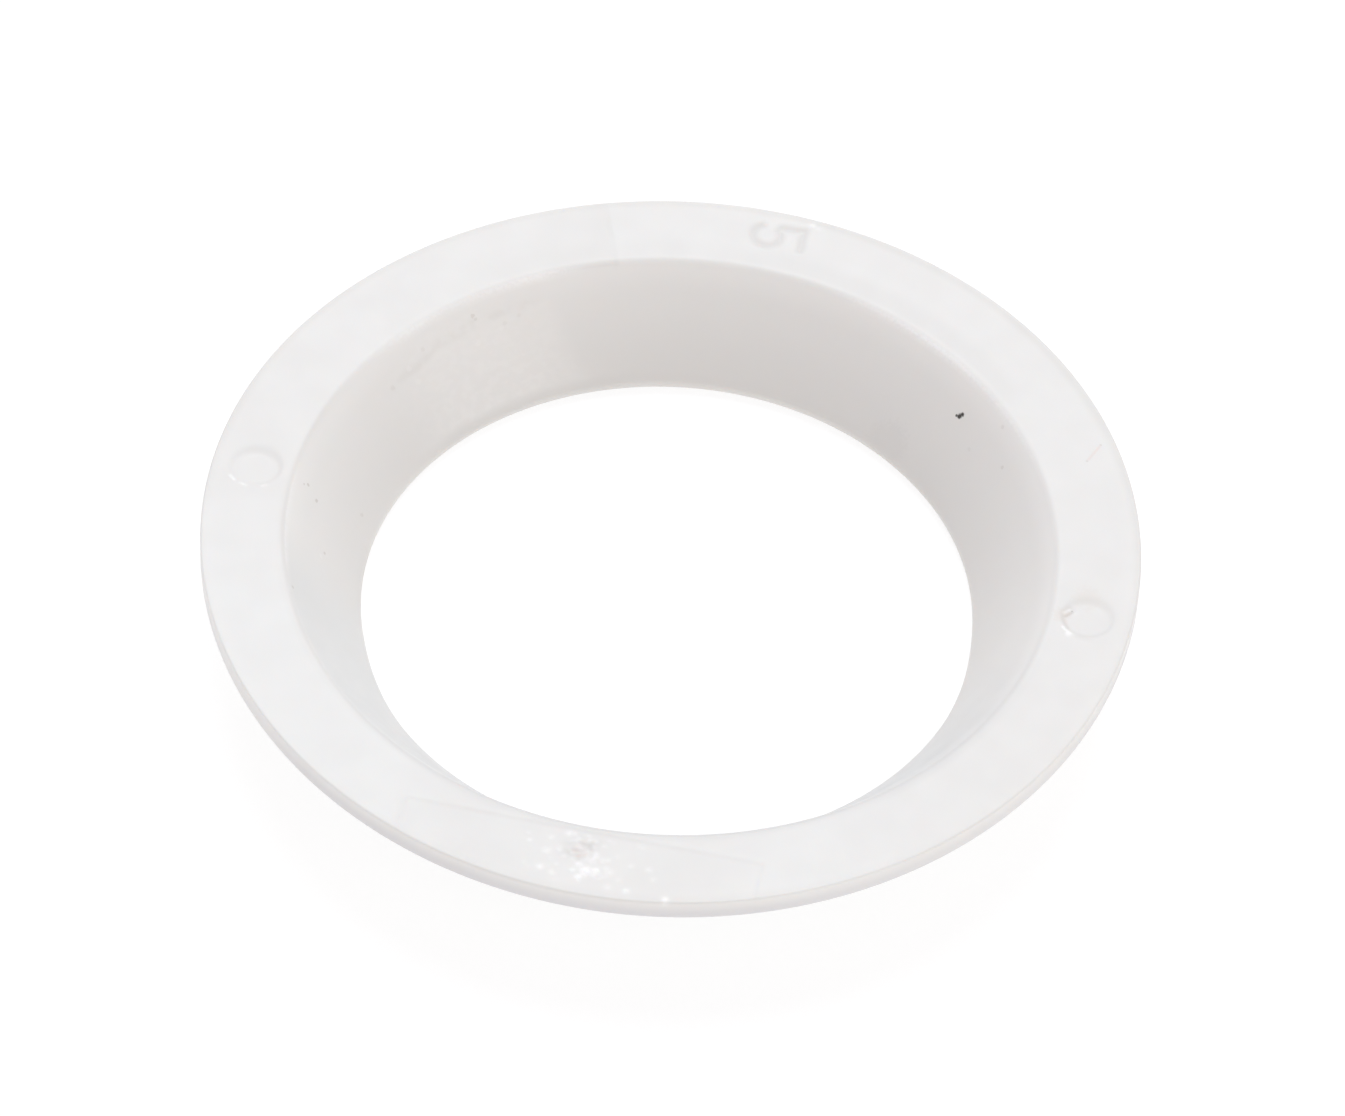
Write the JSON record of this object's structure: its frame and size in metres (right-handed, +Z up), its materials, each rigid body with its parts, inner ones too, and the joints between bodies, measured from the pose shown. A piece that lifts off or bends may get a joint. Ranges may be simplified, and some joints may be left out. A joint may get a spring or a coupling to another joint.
{
  "type": "toilet flange",
  "caption": "One-piece moulded plastic ring: a flat flange with a funnel collar that guides waste from a toilet's outlet into the drain.",
  "frame": {"origin": "centre of the collar's bottom edge, on the ring's axis", "axes": "+Z up along the ring's axis, from the collar to the flange; +X towards one ejector-pin mark; the gate is towards -Y"},
  "size_m": [0.108, 0.108, 0.013],
  "materials": {
    "white_plastic": "satin, slightly translucent, as moulded"
  },
  "bodies": {
    "root": {"flange_ring": "white_plastic"}
  },
  "joints": []
}
